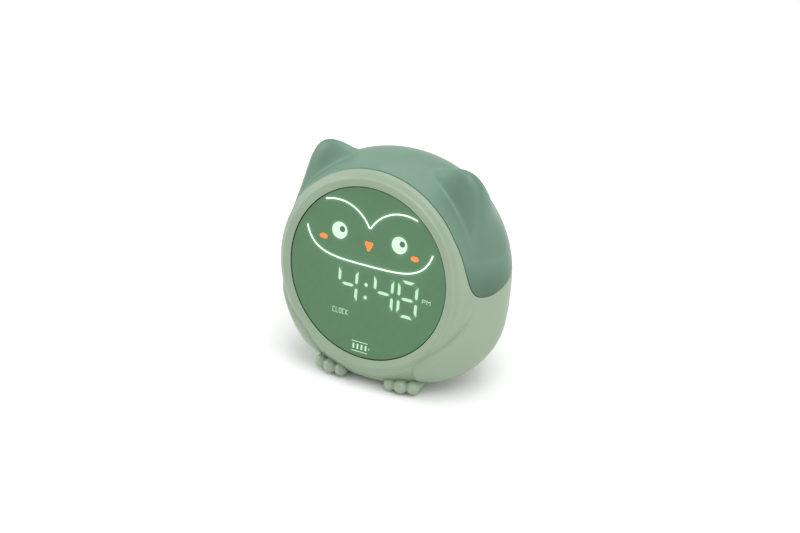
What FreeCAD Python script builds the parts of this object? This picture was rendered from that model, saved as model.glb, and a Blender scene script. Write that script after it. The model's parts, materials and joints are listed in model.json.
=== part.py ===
import FreeCAD, Part
import math
import os

os.makedirs("parts", exist_ok=True)
V = FreeCAD.Vector

# ---------------------------------------------------------------- driving dimensions (mm)
R = 47.0                 # radius of the round display, the unit of the whole body
TILT = 8.628             # lean of the face back from upright, degrees
SC = 0.62                # depth of the body centre behind the display, in R
WALL = 2.4               # shell wall
GAP = 0.25               # gap at the seams between shells
LENS_R, LENS_T = 46.7, 2.0
SEAT_R, SEAT_Y = 47.0, 2.3
LEDGE_R, LEDGE_Y = 43.5, 3.6
BLOCK_R, BLOCK_Y0, BLOCK_Y1 = 43.0, 2.05, 9.0
BOARD_T = 1.6
FRAME_R, FRAME_Y0, FRAME_Y1 = 51.0, 21.0, 23.0
BACK_S, BACK_R = 1.50, 0.80
PANEL_R, PANEL_T, PANEL_Y0 = 36.0, 2.0, 68.1
PART_S = 1.0             # plane between front shell, hood and rear shell, in R
BUTTON_R, BUTTON_TRAVEL = 3.9, 0.4
BUTTONS = [("alarm", -20.0, 13.0), ("minus", -10.5, 18.5), ("set", 0.0, 20.5), ("plus", 10.5, 18.5), ("light", 20.0, 13.0)]
SWITCH_X, SWITCH_Z, SWITCH_TRAVEL = -22.0, -6.0, 2.0
USB_X, USB_Z = 22.0, -6.0
SPK_X, SPK_Z, SPK_R = 0.0, -8.0, 13.5
POST_XY = 22.98
GROUND = -64.65          # resting plane below the display centre
SHIFT_X, SHIFT_Y, SHIFT_Z = 0.0, -33.24, 64.65   # display centre in the shared frame

# ---------------------------------------------------------------- body skin
# depth, radius up, radius sideways, radius down, squareness of the lower half; all in R
PROF = [(-0.006, 1.004, 1.004, 1.004, 2.0), (-0.020, 1.045, 1.045, 1.045, 2.0), (-0.008, 1.105, 1.105, 1.112, 2.0),
        (0.030, 1.155, 1.152, 1.175, 2.0), (0.084, 1.188, 1.176, 1.225, 2.03), (0.180, 1.226, 1.212, 1.300, 2.20),
        (0.300, 1.258, 1.256, 1.326, 2.58), (0.450, 1.294, 1.328, 1.300, 2.90), (0.620, 1.308, 1.380, 1.283, 2.88),
        (0.800, 1.290, 1.382, 1.240, 2.82), (1.000, 1.227, 1.304, 1.190, 2.72), (1.200, 1.125, 1.172, 1.085, 2.42),
        (1.380, 0.965, 0.995, 0.940, 2.12), (1.500, 0.800, 0.800, 0.800, 2.0), (1.590, 0.600, 0.600, 0.600, 2.0),
        (1.650, 0.300, 0.300, 0.300, 2.0), (1.665, 0.0, 0.0, 0.0, 2.0)]
# directions over distances of the planes that bound an ear, in 1/R, joined as a rounded hull
EAR = [(-0.2775, 0.4535, -2.3320), (-0.5725, 0.7731, -0.3380), (0.7320, 0.1361, -0.1908), (0.3165, 0.1658, 0.2251),
       (-0.4391, 1.0280, 0.9408), (0.3564, 0.1200, 0.2797), (0.5675, -0.5044, 0.0316), (0.6316, -0.3684, 0.7579),
       (0.0, 0.5, 0.866), (0.4737, 0.1053, 0.9337)]
ROUND, KV = 5.0, 0.12
WFRONT = [(80, -3), (73.5, -9.1), (71.2, -14.7), (68.6, -20.7), (65.8, -27.5), (63.4, -33.5), (61.9, -40.3), (61.3, -46.6),
          (62.2, -53.0), (65.2, -58.2), (70.0, -61.5)]
WREAR = [(76, -62.0), (82, -58), (88, -51), (93, -43), (98, -34), (102, -24), (104, -12), (104, -2)]
WH = 0.050


def radius_at(rt, rs, rb, p, ph):
    c, n = abs(math.cos(ph)), math.sin(ph)
    if rs < 1e-9:
        return 0.0
    if n >= 0:
        return 1.0 / math.sqrt((c / rs) ** 2 + (n / rt) ** 2)
    return ((c / rs) ** p + (-n / rb) ** p) ** (-1.0 / p)


def spline(xs, ys):
    n = len(xs)
    h = [xs[i + 1] - xs[i] for i in range(n - 1)]
    al = [0.0] * n
    for i in range(1, n - 1):
        al[i] = 3 * ((ys[i + 1] - ys[i]) / h[i] - (ys[i] - ys[i - 1]) / h[i - 1])
    l, mu, z = [1.0] * n, [0.0] * n, [0.0] * n
    for i in range(1, n - 1):
        l[i] = 2 * (xs[i + 1] - xs[i - 1]) - h[i - 1] * mu[i - 1]
        mu[i] = h[i] / l[i]
        z[i] = (al[i] - h[i - 1] * z[i - 1]) / l[i]
    b, c, d = [0.0] * n, [0.0] * n, [0.0] * n
    for j in range(n - 2, -1, -1):
        c[j] = z[j] - mu[j] * c[j + 1]
        b[j] = (ys[j + 1] - ys[j]) / h[j] - h[j] * (c[j + 1] + 2 * c[j]) / 3
        d[j] = (c[j + 1] - c[j]) / (3 * h[j])

    def f(x):
        lo = 0
        while lo < n - 2 and xs[lo + 1] <= x:
            lo += 1
        t = x - xs[lo]
        return ys[lo] + b[lo] * t + c[lo] * t * t + d[lo] * t ** 3
    return f


CACHE = {}


def meridian(ph):
    key = round(ph, 7)
    if key not in CACHE:
        th, rr = [], []
        for s, rt, rs, rb, p in PROF:
            q = radius_at(rt, rs, rb, p, ph)
            rr.append(math.hypot(q, s - SC))
            th.append(math.atan2(q, SC - s))
        CACHE[key] = (spline(th, rr), th[0], th[-1])
    return CACHE[key]


def smin(a, b, k):
    h = max(k - abs(a - b), 0.0) / k
    return min(a, b) - h * h * h * k / 6.0


def direction(th, ph):
    return (math.sin(th) * math.cos(ph), math.sin(th) * math.sin(ph), -math.cos(th))


def ear(d):
    s = 0.0
    for n in EAR:
        s += max(n[0] * d[0] + n[1] * d[1] + n[2] * d[2], 0.0) ** ROUND
    return max(s, 1e-12) ** (-1.0 / ROUND)


def seg_dist(p, a, b):
    ab = [b[i] - a[i] for i in range(3)]
    ap = [p[i] - a[i] for i in range(3)]
    t = max(0.0, min(1.0, sum(ab[i] * ap[i] for i in range(3)) / sum(x * x for x in ab)))
    return math.sqrt(sum((ap[i] - t * ab[i]) ** 2 for i in range(3)))


W1 = [direction(math.radians(a), math.radians(b)) for a, b in WFRONT + WREAR[:1]]
W2 = [direction(math.radians(a), math.radians(b)) for a, b in WREAR]
POLY = WFRONT + WREAR


def in_wing(th, ph):
    r, j = False, len(POLY) - 1
    for i in range(len(POLY)):
        (x1, y1), (x2, y2) = POLY[i], POLY[j]
        if (y1 > ph) != (y2 > ph) and th < (x2 - x1) * (ph - y1) / (y2 - y1) + x1:
            r = not r
        j = i
    return r


def wing(th, ph, d):
    td, pd = math.degrees(th), math.degrees(ph)
    if not (-66 < pd < 0 and 58 < td < 106) or not in_wing(td, pd):
        return 0.0
    df = 1.36 * min(seg_dist(d, W1[i], W1[i + 1]) for i in range(len(W1) - 1))
    dr = 1.36 * min(seg_dist(d, W2[i], W2[i + 1]) for i in range(len(W2) - 1))
    tf, tr = min(df / 0.12, 1.0), min(dr / 0.26, 1.0)
    a, b = tf * tf * (3 - 2 * tf), tr * tr * (3 - 2 * tr)
    u = min(max((-pd - 4.0) / 26.0, 0.0), 1.0)
    u = u * u * (3 - 2 * u)
    return WH * a * (0.15 + 0.85 * b) * u * min(1.0, b * 4 + .3)


def skin(th, ph, with_wing=True):
    s, c = math.sin(ph), abs(math.cos(ph))
    pm = math.atan2(s, c)
    r0 = meridian(pm)[0](th)
    d = (math.sin(th) * c, math.sin(th) * s, -math.cos(th))
    w = 1.0 / (1.0 + math.exp(-(pm + 0.35) / 0.06))
    r0 = -smin(-r0, -(ear(d) * w + (1 - w) * 0.5), KV)
    return r0 + (wing(th, pm, d) if with_wing else 0.0)


def point(th, ph, off=0.0, with_wing=True):
    r = skin(th, ph, with_wing) * R - off
    return V(r * math.sin(th) * math.cos(ph), SC * R - r * math.cos(th), r * math.sin(th) * math.sin(ph))


def theta_at(ph, s_target):
    lo, hi = 1.5, 3.1
    for _ in range(40):
        m = 0.5 * (lo + hi)
        if SC - skin(m, ph, False) * math.cos(m) < s_target:
            lo = m
        else:
            hi = m
    return 0.5 * (lo + hi)


def solve(mat, rhs):
    """Gaussian elimination; rhs rows are lists."""
    n = len(mat)
    m = [mat[i][:] + rhs[i][:] for i in range(n)]
    for i in range(n):
        p = max(range(i, n), key=lambda r: abs(m[r][i]))
        m[i], m[p] = m[p], m[i]
        for r in range(i + 1, n):
            f = m[r][i] / m[i][i]
            if f:
                m[r] = [a - f * b for a, b in zip(m[r], m[i])]
    x = [None] * n
    for i in range(n - 1, -1, -1):
        row = m[i][n:]
        for j in range(i + 1, n):
            f = m[i][j]
            if f:
                row = [a - f * b for a, b in zip(row, x[j])]
        x[i] = [a / m[i][i] for a in row]
    return x


def basis(knots, k, t, i):
    if k == 0:
        return 1.0 if knots[i] <= t < knots[i + 1] else 0.0
    r = 0.0
    if knots[i + k] > knots[i]:
        r += (t - knots[i]) / (knots[i + k] - knots[i]) * basis(knots, k - 1, t, i)
    if knots[i + k + 1] > knots[i + 1]:
        r += (knots[i + k + 1] - t) / (knots[i + k + 1] - knots[i + 1]) * basis(knots, k - 1, t, i + 1)
    return r


def tube(n_phi, n_row, ease, off, th_front, s_back, with_wing):
    """Closed solid: a periodic cubic skin through sampled rings, flat at both ends."""
    rows = []
    phis = [-math.pi / 2 + 2 * math.pi * k / n_phi for k in range(n_phi)]
    ends = [theta_at(ph, s_back) for ph in phis]
    for i in range(n_row + 1):
        t = i / n_row
        f = ease * t + (1 - ease) * t * t
        ring_pts = []
        for k, ph in enumerate(phis):
            t0 = th_front if th_front is not None else meridian(math.atan2(math.sin(ph), abs(math.cos(ph))))[1]
            q = point(t0 + (ends[k] - t0) * f, ph, off, with_wing)
            ring_pts.append([q.x, q.y, q.z])
        if i in (0, n_row):
            ym = sum(q[1] for q in ring_pts) / n_phi
            for q in ring_pts:
                q[1] = ym
        rows.append(ring_pts)
    for ring_pts in rows:
        tgt = [q[:] for q in ring_pts]
        for _ in range(45):
            new = []
            for k in range(n_phi):
                a, b, c = ring_pts[k - 1], ring_pts[k], ring_pts[(k + 1) % n_phi]
                new.append([b[j] + tgt[k][j] - (a[j] + 4 * b[j] + c[j]) / 6 for j in range(3)])
            ring_pts[:] = new
    n = n_row
    knots = [0.0] * 4 + [float(j) for j in range(2, n - 1)] + [float(n)] * 4
    mat = [[basis(knots, 3, min(float(i), n - 1e-9), j) for j in range(n + 1)] for i in range(n + 1)]
    rhs = [[v for q in r for v in q] for r in rows]
    sol = solve(mat, rhs)
    poles = [[V(*sol[i][3 * k:3 * k + 3]) for i in range(n + 1)] for k in range(n_phi)]
    bs = Part.BSplineSurface()
    bs.buildFromPolesMultsKnots(poles, [1] * (n_phi + 1), [4] + [1] * (n - 3) + [4], [float(k) for k in range(n_phi + 1)],
                                [0.0] + [float(j) for j in range(2, n - 1)] + [float(n)], True, False, 3, 3)
    face = bs.toShape()
    caps = [Part.Face(Part.Wire([e])) for e in face.Edges if e.isClosed() and abs(e.BoundBox.YLength) < 0.01]
    assert len(caps) == 2, len(caps)
    sh = Part.Shell([face] + caps)
    sh.sewShape()
    sol_ = Part.Solid(sh)
    if sol_.Volume < 0:
        sol_.reverse()
    return sol_


def cyl(r, y0, y1, x=0.0, z=0.0):
    return Part.makeCylinder(r, y1 - y0, V(x, y0, z), V(0, 1, 0))


def box(x0, x1, y0, y1, z0, z1):
    return Part.makeBox(x1 - x0, y1 - y0, z1 - z0, V(x0, y0, z0))


def ring(r0, r1, y0, y1, x=0.0, z=0.0):
    return cyl(r1, y0, y1, x, z).cut(cyl(r0, y0 - 1, y1 + 1, x, z))


def polygon(pts, y0, y1):
    """Solid from an outline in the x-z plane, extruded in depth."""
    w = Part.makePolygon([V(x, y0, z) for x, z in pts] + [V(pts[0][0], y0, pts[0][1])])
    return Part.Face(w).extrude(V(0, y1 - y0, 0))


def rounded(x0, x1, z0, z1, r, y0, y1):
    pts = []
    for cx, cz, a in ((x1 - r, z1 - r, 0), (x0 + r, z1 - r, 90), (x0 + r, z0 + r, 180), (x1 - r, z0 + r, 270)):
        for k in range(7):
            t = math.radians(a + 15 * k)
            pts.append((cx + r * math.cos(t), cz + r * math.sin(t)))
    return polygon(pts, y0, y1)


def place(shape):
    """From the display's own frame (x across, y depth, z up the face) to the shared frame."""
    s = shape.copy()
    s.Placement = FreeCAD.Placement(V(SHIFT_X, SHIFT_Y, SHIFT_Z), FreeCAD.Rotation(V(1, 0, 0), -TILT)).multiply(s.Placement)
    return s


def shift(shape):
    s = shape.copy()
    s.Placement = FreeCAD.Placement(V(SHIFT_X, SHIFT_Y, SHIFT_Z), FreeCAD.Rotation()).multiply(s.Placement)
    return s


NODES = []


def out(name, shape, local=True):
    s = place(shape) if local else shift(shape)
    solids = s.Solids
    assert solids, name
    s = solids[0] if len(solids) == 1 else Part.makeCompound(solids)
    s.exportStep("parts/%s.step" % name)
    bb = FreeCAD.BoundBox()
    for q in s.tessellate(0.1)[0]:
        bb.add(q)
    NODES.append((name, bb))
    print("%-22s solids %2d vol %9.1f valid %s  x %.2f %.2f y %.2f %.2f z %.2f %.2f" % (
        name, len(solids), s.Volume, s.isValid(), bb.XMin, bb.XMax, bb.YMin, bb.YMax, bb.ZMin, bb.ZMax), flush=True)


# ---------------------------------------------------------------- shells
OUTER = tube(72, 34, 0.30, 0.0, None, BACK_S, True)
INNER = tube(60, 20, 0.40, WALL, 1.02, BACK_S - 0.010, False)
print("tubes", OUTER.isValid(), INNER.isValid(), OUTER.Volume, INNER.Volume, OUTER.BoundBox, flush=True)

HOLLOW = INNER.common(box(-90, 90, LEDGE_Y, 66.3, -90, 90))
SHELL = OUTER.cut(HOLLOW)
SHELL = SHELL.cut(cyl(SEAT_R, -5, SEAT_Y)).cut(cyl(LEDGE_R, -5, LEDGE_Y + 3))
SHELL = SHELL.cut(cyl(PANEL_R + 0.25, 68.0, 90)).cut(cyl(29.8, 60, 90))

# side view of the hood: down its front seam, round the lobe beside the face, up to the parting plane
LOBE = [(.084, .62), (.092, .56), (.116, .341), (.147, .168), (.180, .073), (.241, -.008), (.325, -.047), (.413, -.053),
        (.505, -.033), (.591, -.001), (.698, .052), (.801, .114), (.903, .219), (1.0, .38)]


def lobe_prism(off, s_top, below=False):
    fine = []
    ys, zs = [p[0] for p in LOBE], [p[1] for p in LOBE]
    t = [0.0]
    for i in range(1, len(LOBE)):
        t.append(t[-1] + math.hypot(ys[i] - ys[i - 1], zs[i] - zs[i - 1]))
    fy, fz = spline(t, ys), spline(t, zs)
    n = 40
    raw = [(fy(t[-1] * k / n), fz(t[-1] * k / n)) for k in range(n + 1)]
    for k in range(n + 1):
        a, b = raw[max(k - 1, 0)], raw[min(k + 1, n)]
        l = math.hypot(b[0] - a[0], b[1] - a[1])
        ny, nz = (b[1] - a[1]) / l, -(b[0] - a[0]) / l      # points out of the hood region
        if k == 0:
            ny, nz = -1.0, 0.0
        fine.append(V(-90, raw[k][0] * R + ny * off, raw[k][1] * R + nz * off))
    c = Part.BSplineCurve()
    c.interpolate(fine)
    e = c.toShape()
    p0, p1 = fine[0], fine[-1]
    top = 100.0
    if below:
        c0, c1 = V(-90, p0.y, top), V(-90, -10, top)
        c2, c3, c4 = V(-90, -10, -90), V(-90, PART_S * R - GAP / 2, -90), V(-90, PART_S * R - GAP / 2, p1.z)
        if c4.y - p1.y < 0.3:
            lines = [Part.makeLine(p1, c3)]
        else:
            lines = [Part.makeLine(p1, c4), Part.makeLine(c4, c3)]
        lines += [Part.makeLine(c3, c2), Part.makeLine(c2, c1), Part.makeLine(c1, c0), Part.makeLine(c0, p0)]
        return Part.Face(Part.Wire([e] + lines)).extrude(V(180, 0, 0))
    lines = [Part.makeLine(p1, V(-90, s_top, p1.z)), Part.makeLine(V(-90, s_top, p1.z), V(-90, s_top, top)),
             Part.makeLine(V(-90, s_top, top), V(-90, p0.y, top)), Part.makeLine(V(-90, p0.y, top), p0)]
    return Part.Face(Part.Wire([e] + lines)).extrude(V(180, 0, 0))


PRISM_IN = lobe_prism(-GAP / 2, PART_S * R + 5)
PRISM_OUT = lobe_prism(GAP / 2, PART_S * R - 1, True)
FRONT_HALF = box(-90, 90, -10, PART_S * R - GAP / 2, -90, 110)
REAR_HALF = box(-90, 90, PART_S * R + GAP / 2, 100, -90, 110)
HOOD = SHELL.common(PRISM_IN).common(FRONT_HALF)
FRONT = SHELL.common(PRISM_OUT)
REAR = SHELL.common(REAR_HALF)
print("prisms", PRISM_IN.isValid(), PRISM_OUT.isValid(), SHELL.Volume, SHELL.common(FRONT_HALF).Volume, SHELL.isValid())
print("shells", len(HOOD.Solids), len(FRONT.Solids), len(REAR.Solids), [round(s.Volume) for s in HOOD.Solids + FRONT.Solids + REAR.Solids], flush=True)

# four bosses behind the lens ledge carry the inner frame
BOSS = [(33.6, 33.6), (-33.6, 33.6), (33.6, -33.6), (-33.6, -33.6)]
for x, z in BOSS:
    FRONT = FRONT.fuse(cyl(3.0, LEDGE_Y - 1.0, FRAME_Y0, x, z)).cut(cyl(0.95, LEDGE_Y + 3, FRAME_Y0 + 1, x, z))
FRONT = max(FRONT.Solids, key=lambda s: s.Volume)
HOOD = max(HOOD.Solids, key=lambda s: s.Volume)
for x in (POST_XY, -POST_XY):
    for z in (POST_XY, -POST_XY):
        REAR = REAR.cut(cyl(1.5, 60, 90, x, z))
REAR = max(REAR.Solids, key=lambda s: s.Volume)
out("front_shell", FRONT)
out("hood", HOOD)
out("rear_shell", REAR)

# ---------------------------------------------------------------- lit marks on the display
def stroke(x0, z0, x1, z1, w, y0, y1):
    l = math.hypot(x1 - x0, z1 - z0)
    ux, uz = (x1 - x0) / l, (z1 - z0) / l
    nx, nz = -uz * w / 2, ux * w / 2
    ax, az, bx, bz = x0 - ux * w / 2, z0 - uz * w / 2, x1 + ux * w / 2, z1 + uz * w / 2
    return polygon([(ax + nx, az + nz), (bx + nx, bz + nz), (bx - nx, bz - nz), (ax - nx, az - nz)], y0, y1)


def bezier(p, n=28):
    o = []
    for k in range(n + 1):
        t = k / n
        a = ((1 - t) ** 3, 3 * t * (1 - t) ** 2, 3 * t * t * (1 - t), t ** 3)
        o.append((sum(a[i] * p[i][0] for i in range(4)), sum(a[i] * p[i][1] for i in range(4))))
    return o


def band(path, w, y0, y1):
    left, right = [], []
    n = len(path)
    for k in range(n):
        a, b = path[max(k - 1, 0)], path[min(k + 1, n - 1)]
        l = math.hypot(b[0] - a[0], b[1] - a[1])
        nx, nz = -(b[1] - a[1]) / l * w / 2, (b[0] - a[0]) / l * w / 2
        left.append((path[k][0] + nx, path[k][1] + nz))
        right.append((path[k][0] - nx, path[k][1] - nz))
    caps = []
    for (c, a0, sgn) in ((path[-1], left[-1], -1), (path[0], right[0], -1)):
        a = math.atan2(a0[1] - c[1], a0[0] - c[0])
        caps.append([(c[0] + w / 2 * math.cos(a + sgn * math.pi * j / 6), c[1] + w / 2 * math.sin(a + sgn * math.pi * j / 6)) for j in range(1, 6)])
    return polygon(left + caps[0] + right[::-1] + caps[1], y0, y1)


def blob(cx, cz, rx, rz, y0, y1, n=36):
    return polygon([(cx + rx * math.cos(2 * math.pi * k / n), cz + rz * math.sin(2 * math.pi * k / n)) for k in range(n)], y0, y1)


MY0, MY1 = 0.0, LENS_T
SEG_HALF, SEG_LEN, SEG_W = 0.201 * R, 0.150 * R, 0.035 * R


def segment(cx, cz, k, y0, y1, w=SEG_W, ln=SEG_LEN):
    h, t = ln / 2, w / 2
    if k == "g":
        pts = [(-h, 0), (-h + 1.5 * t, t), (h - 1.5 * t, t), (h, 0), (h - 1.5 * t, -t), (-h + 1.5 * t, -t)]
    elif k in "ad":
        s = 1 if k == "a" else -1
        pts = [(-h, s * t), (h, s * t), (h - 2 * t, -s * t), (-h + 2 * t, -s * t)]
    else:
        s, q = (1 if k in "bc" else -1), (1 if k in "bf" else -1)
        pts = [(s * t, q * h), (s * t, q * (-h + t)), (0, q * -h), (-s * t, q * (-h + t)), (-s * t, q * (h - 2.6 * t))]
    return polygon([(cx + a, cz + b) for a, b in pts], y0, y1)


DIG = {"4": "fgbc", "8": "abcdefg"}
DIGITS = [("4", -0.232), ("4", 0.227), ("8", 0.533)]
DZ, DW, DH = -0.172 * R, 0.110 * R, 0.1005 * R
SEGS = []
for ch, cx in DIGITS:
    x = cx * R
    pos = {"a": (x, DZ + 2 * DH, "a"), "g": (x, DZ, "g"), "d": (x, DZ - 2 * DH, "d"), "b": (x + DW, DZ + DH, "b"),
           "c": (x + DW, DZ - DH, "c"), "f": (x - DW, DZ + DH, "f"), "e": (x - DW, DZ - DH, "e")}
    SEGS += [pos[s] for s in DIG[ch]]
seg_solids = [segment(a, b, v, MY0, MY1) for a, b, v in SEGS]
seg_solids += [cyl(0.021 * R, MY0, MY1, 0.002 * R, z * R) for z in (-0.124, -0.275)]

GLYPH = {"P": [[(0, 0), (0, 2)], [(0, 2), (1, 2)], [(1, 2), (1, 1)], [(1, 1), (0, 1)]],
         "M": [[(0, 0), (0, 2)], [(0, 2), (.6, 1.1)], [(.6, 1.1), (1.2, 2)], [(1.2, 2), (1.2, 0)]],
         "C": [[(1, 2), (0, 2)], [(0, 2), (0, 0)], [(0, 0), (1, 0)]], "L": [[(0, 2), (0, 0)], [(0, 0), (1, 0)]],
         "O": [[(0, 0), (0, 2)], [(0, 2), (1, 2)], [(1, 2), (1, 0)], [(1, 0), (0, 0)]],
         "K": [[(0, 0), (0, 2)], [(1, 2), (0, 1)], [(0, 1), (1, 0)]]}


def word(text, x, z, h, step, w, wide, y0, y1):
    res = []
    for i, ch in enumerate(text):
        s = None
        for (a, b), (c, d) in GLYPH[ch]:
            k = stroke(x + a * h * wide, z + b * h / 2, x + c * h * wide, z + d * h / 2, w, y0, y1)
            s = k if s is None else s.fuse(k)
        res.append(s.removeSplitter())
        x += step
    return res


WORDS = word("PM", 0.720 * R, -0.165 * R, 0.046 * R, 0.056 * R, 0.28, 0.78, MY0, MY1) + \
    word("CLOCK", -0.405 * R, -0.536 * R, 0.056 * R, 0.0425 * R, 0.28, 0.45, MY0, MY1)
BZ = -0.876 * R
BATT = [polygon([((x - .011) * R, BZ - .030 * R), ((x + .011) * R, BZ - .030 * R), ((x + .011) * R, BZ + .030 * R), ((x - .011) * R, BZ + .030 * R)], MY0, MY1)
        for x in (-.104, -.051, .002, .055)]
BATT += [polygon([(-.128 * R, BZ + s * .058 * R - .2), (.079 * R, BZ + s * .058 * R - .2), (.079 * R, BZ + s * .058 * R + .2), (-.128 * R, BZ + s * .058 * R + .2)], MY0, MY1)
         for s in (-1, 1)]
BATT += [polygon([(.098 * R - .25, BZ - .5), (.098 * R + .25, BZ - .5), (.098 * R + .25, BZ + .5), (.098 * R - .25, BZ + .5)], MY0, MY1)]

BROW_R = [(0.0, .541), (.008, .543), (.015, .550)] + bezier([(.022, .560), (.120, .720), (.330, .838), (.578, .759)])
BROW = [(-x, z) for x, z in BROW_R[:0:-1]] + BROW_R
LOW = bezier([(-.801, .402), (-.706, .086), (-.400, .103), (0.0, .101)])
LOW = LOW + [(-x, z) for x, z in LOW[-2::-1]]
LINE_W = 0.72
LINES = [band([(x * R, z * R) for x, z in BROW], LINE_W, MY0, MY1), band([(x * R, z * R) for x, z in LOW], LINE_W, MY0, MY1)]
EYE = (0.383 * R, 0.430 * R, 0.098 * R, 0.098 * R)
PUPIL = (0.034 * R, 0.020 * R, 0.035 * R)
eyes = [blob(s * EYE[0], EYE[1], EYE[2], EYE[3], MY0, MY1) for s in (-1, 1)]
pupils = [cyl(PUPIL[2], MY0, MY1, s * EYE[0] + PUPIL[0], EYE[1] + PUPIL[1]) for s in (-1, 1)]
eyes = [e.cut(p) for e, p in zip(eyes, pupils)]
CHEEK = (0.585 * R, 0.318 * R, 0.052 * R, 0.031 * R)
cheeks = [blob(s * CHEEK[0], CHEEK[1], CHEEK[2], CHEEK[3], MY0, MY1) for s in (-1, 1)]
BK = []
for (cx, cz, rr, a0, a1) in ((-.034, .362, .020, 60, 210), (0.0, .283, .016, 210, 330), (.034, .362, .020, -30, 120)):
    for k in range(8):
        a = math.radians(a0 + (a1 - a0) * k / 7)
        BK.append(((cx + rr * math.cos(a)) * R, (cz + rr * math.sin(a)) * R))
beak = polygon(BK, MY0, MY1)
MARKS = {"digit_segments": seg_solids, "display_words": WORDS, "battery_icon": BATT, "face_lines": LINES, "eye_lights": eyes,
         "eye_pupils": pupils, "cheek_lights": cheeks, "beak_light": [beak]}
ALL_MARKS = [s for k in MARKS for s in MARKS[k]]
for name in MARKS:
    out(name, Part.makeCompound(MARKS[name]))

# ---------------------------------------------------------------- display stack
lens = cyl(LENS_R, 0.0, LENS_T)
rim = [e for e in lens.Edges if abs(e.CenterOfMass.y) < 1e-6]
lens = lens.makeChamfer(0.3, rim).cut(Part.makeCompound(ALL_MARKS))
lens = max(lens.Solids, key=lambda s: s.Volume)
out("display_window", lens)
out("display_gasket", ring(44.0, 46.5, LENS_T, SEAT_Y))
block = cyl(BLOCK_R, BLOCK_Y0, BLOCK_Y1)
WELLS = [segment(a, b, v, BLOCK_Y0 - 1, BLOCK_Y1 + 1) for a, b, v in SEGS]
WELLS += [cyl(0.021 * R, BLOCK_Y0 - 1, BLOCK_Y1 + 1, 0.002 * R, z * R) for z in (-0.124, -0.275)]
WELLS += word("PM", 0.720 * R, -0.165 * R, 0.046 * R, 0.056 * R, 0.28, 0.78, BLOCK_Y0 - 1, MY1)
WELLS += word("CLOCK", -0.405 * R, -0.536 * R, 0.056 * R, 0.0425 * R, 0.28, 0.45, BLOCK_Y0 - 1, MY1)
WELLS += [rounded(.704 * R, .842 * R, -.185 * R, -.098 * R, .5, MY1, BLOCK_Y1 + 1), rounded(-.425 * R, -.188 * R, -.556 * R, -.460 * R, .5, MY1, BLOCK_Y1 + 1)]
WELLS += [rounded(-.135 * R, .115 * R, BZ - .07 * R, BZ + .07 * R, .8, MY1, BLOCK_Y1 + 1)]
WELLS += [s for s in BATT]
WELLS += [band([(x * R, z * R) for x, z in BROW], LINE_W, BLOCK_Y0 - 1, BLOCK_Y1 + 1), band([(x * R, z * R) for x, z in LOW], LINE_W, BLOCK_Y0 - 1, BLOCK_Y1 + 1)]
WELLS += [blob(s * EYE[0], EYE[1], EYE[2], EYE[3], BLOCK_Y0 - 1, BLOCK_Y1 + 1) for s in (-1, 1)]
WELLS += [blob(s * CHEEK[0], CHEEK[1], CHEEK[2], CHEEK[3], BLOCK_Y0 - 1, BLOCK_Y1 + 1) for s in (-1, 1)]
WELLS += [polygon(BK, BLOCK_Y0 - 1, BLOCK_Y1 + 1)]
block = block.cut(Part.makeCompound(WELLS))
DS = [(38.0 * math.cos(math.radians(a)), 38.0 * math.sin(math.radians(a))) for a in (60, 120, 200, 340, 245, 295)]
for x, z in DS:
    block = block.cut(cyl(0.95, 4.0, BLOCK_Y1 + 1, x, z))
block = max(block.Solids, key=lambda s: s.Volume)
out("light_block", block)
DB0, DB1 = BLOCK_Y1, BLOCK_Y1 + BOARD_T
dboard = cyl(42.0, DB0, DB1)
for x, z in DS:
    dboard = dboard.cut(cyl(1.15, DB0 - 1, DB1 + 1, x, z))
out("display_board", dboard)


def screw(x, z, y_head, length, r=1.05, hr=1.9, hh=1.3, back=True):
    """Pan-head screw, head to the rear, cross recess in the head."""
    s = cyl(hr, y_head, y_head + hh, x, z).fuse(cyl(r * 0.86, y_head - length, y_head, x, z))
    s = s.cut(box(x - 0.22, x + 0.22, y_head + hh - 0.6, y_head + hh + 1, z - 0.85, z + 0.85))
    s = s.cut(box(x - 0.85, x + 0.85, y_head + hh - 0.6, y_head + hh + 1, z - 0.22, z + 0.22))
    return s


out("display_screws", Part.makeCompound([screw(x, z, DB1, 5.5) for x, z in DS]))
leds = []
for a, b, v in SEGS:
    leds.append(box(a - (.4 if v else .8), a + (.4 if v else .8), DB0 - .7, DB0, b - (.8 if v else .4), b + (.8 if v else .4)))
for s in (-1, 1):
    leds.append(box(s * EYE[0] - 1.6, s * EYE[0] + 1.6, DB0 - .8, DB0, EYE[1] - 1.4, EYE[1] + 1.4))
    leds.append(box(s * CHEEK[0] - .8, s * CHEEK[0] + .8, DB0 - .7, DB0, CHEEK[1] - .4, CHEEK[1] + .4))
leds.append(box(-.8, .8, DB0 - .7, DB0, .33 * R - .4, .33 * R + .4))
leds.append(box(.745 * R, .785 * R, DB0 - .7, DB0, -.145 * R, -.115 * R))
leds += [box(x * R - .8, x * R + .8, DB0 - .7, DB0, -.50 * R - .4, -.50 * R + .4) for x in (-.38, -.26)]
leds += [box(x * R - .8, x * R + .8, DB0 - .7, DB0, BZ - .4, BZ + .4) for x in (-.08, .04)]
for path, ks in ((BROW, (6, 14, 22, 34, 42, 50)), (LOW, (6, 16, 28, 40, 50))):
    for k in ks:
        if k < len(path):
            leds.append(cyl(0.36, DB0 - .6, DB0, path[k][0] * R, path[k][1] * R))
out("display_leds", Part.makeCompound(leds))

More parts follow.
